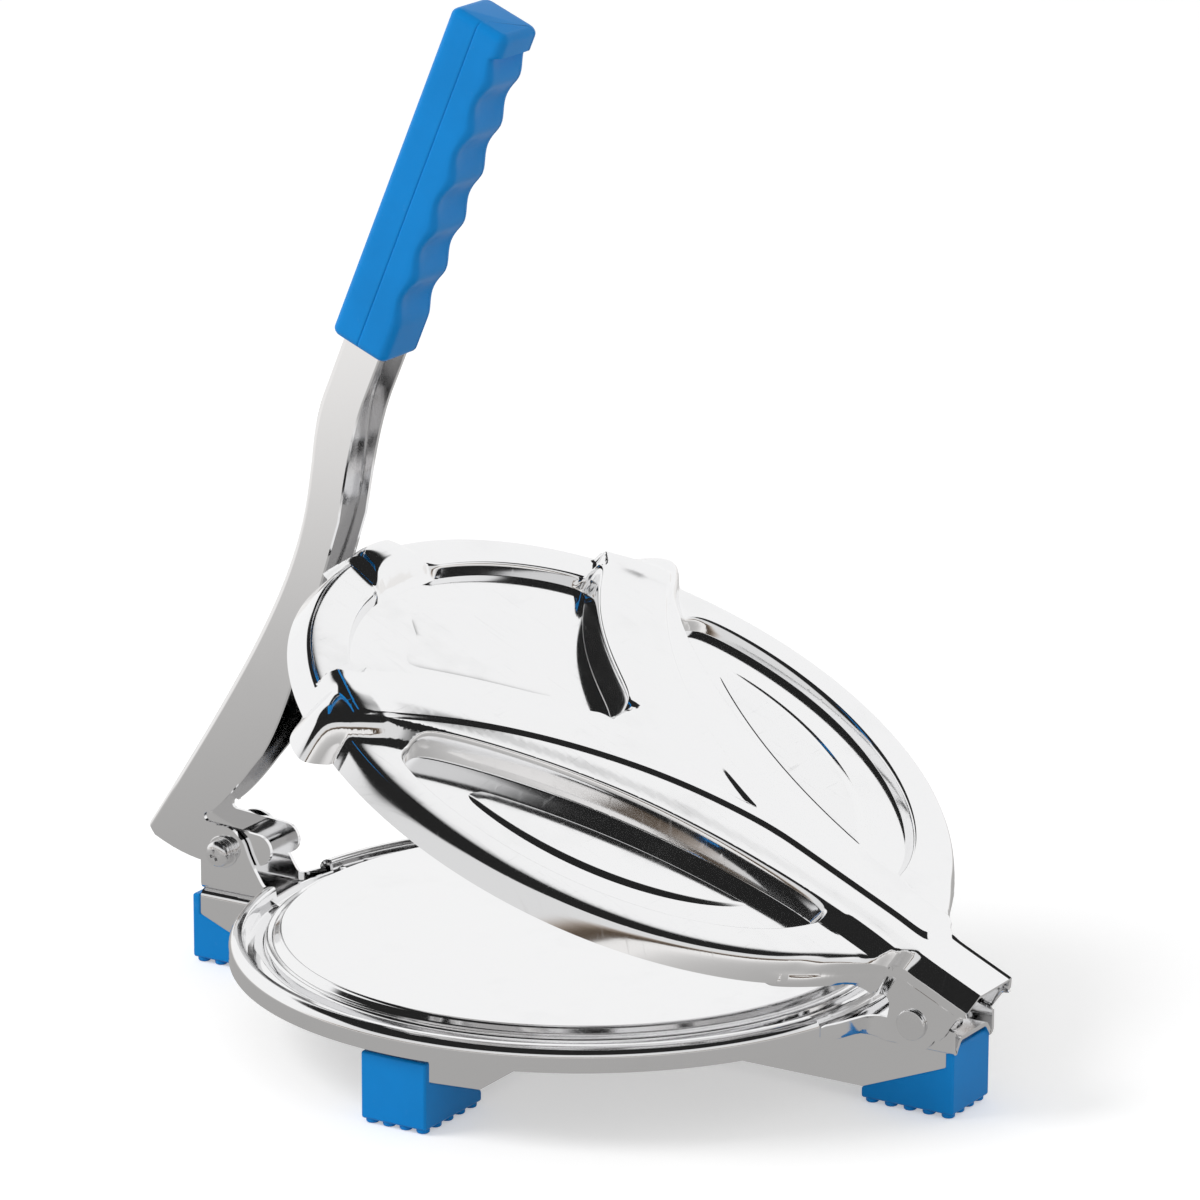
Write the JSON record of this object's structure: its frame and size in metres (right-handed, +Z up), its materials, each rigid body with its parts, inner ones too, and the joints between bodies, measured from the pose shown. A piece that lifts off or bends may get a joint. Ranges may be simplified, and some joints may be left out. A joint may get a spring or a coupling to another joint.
{
  "type": "tortilla press",
  "caption": "Hinged hand press for flat bread: round steel base plate on a crossed brace with plastic feet, ribbed round lid hinged at one end, closing lever with a finger grip at the other",
  "frame": {"origin": "centre of the lower pressing face, on the face", "axes": "+Z up; +X from the centre towards the lid hinge, so the lever pivot is at -X; -Y is the side of the pivot screw's head"},
  "size_m": [0.2648, 0.1926, 0.2797],
  "materials": {
    "steel_sheet": "mirror-polished stainless steel sheet",
    "steel_fasteners": "bright plated steel",
    "blue_plastic": "glossy moulded blue plastic"
  },
  "bodies": {
    "base": {"base_plate": "steel_sheet", "long_brace": "steel_sheet", "cross_brace": "steel_sheet", "hinge_bracket": "steel_sheet", "lever_bracket": "steel_sheet", "foot_hinge": "blue_plastic", "foot_lever": "blue_plastic", "foot_front": "blue_plastic", "foot_back": "blue_plastic", "hinge_rivet_front": "steel_fasteners", "hinge_rivet_back": "steel_fasteners", "pivot_bush": "steel_fasteners", "pivot_screw": "steel_fasteners", "pivot_spring_washer": "steel_fasteners", "pivot_washer_front": "steel_fasteners", "pivot_washer_back": "steel_fasteners", "pivot_nut": "steel_fasteners"},
    "lid": {"lid_shell": "steel_sheet", "lid_press_plate": "steel_sheet"},
    "lever": {"lever_channel": "steel_sheet", "lever_grip": "blue_plastic"}
  },
  "joints": [
    {"name": "lid_hinge", "type": "hinge", "parent": "base", "child": "lid", "pos_m": [0.1096, 0, -0.004], "axis": [0, 1, 0], "range_deg": [-25, 65]},
    {"name": "lever_pivot", "type": "hinge", "parent": "base", "child": "lever", "pos_m": [-0.1105, 0, 0.0042], "axis": [0, 1, 0], "range_deg": [-32, 0]}
  ]
}
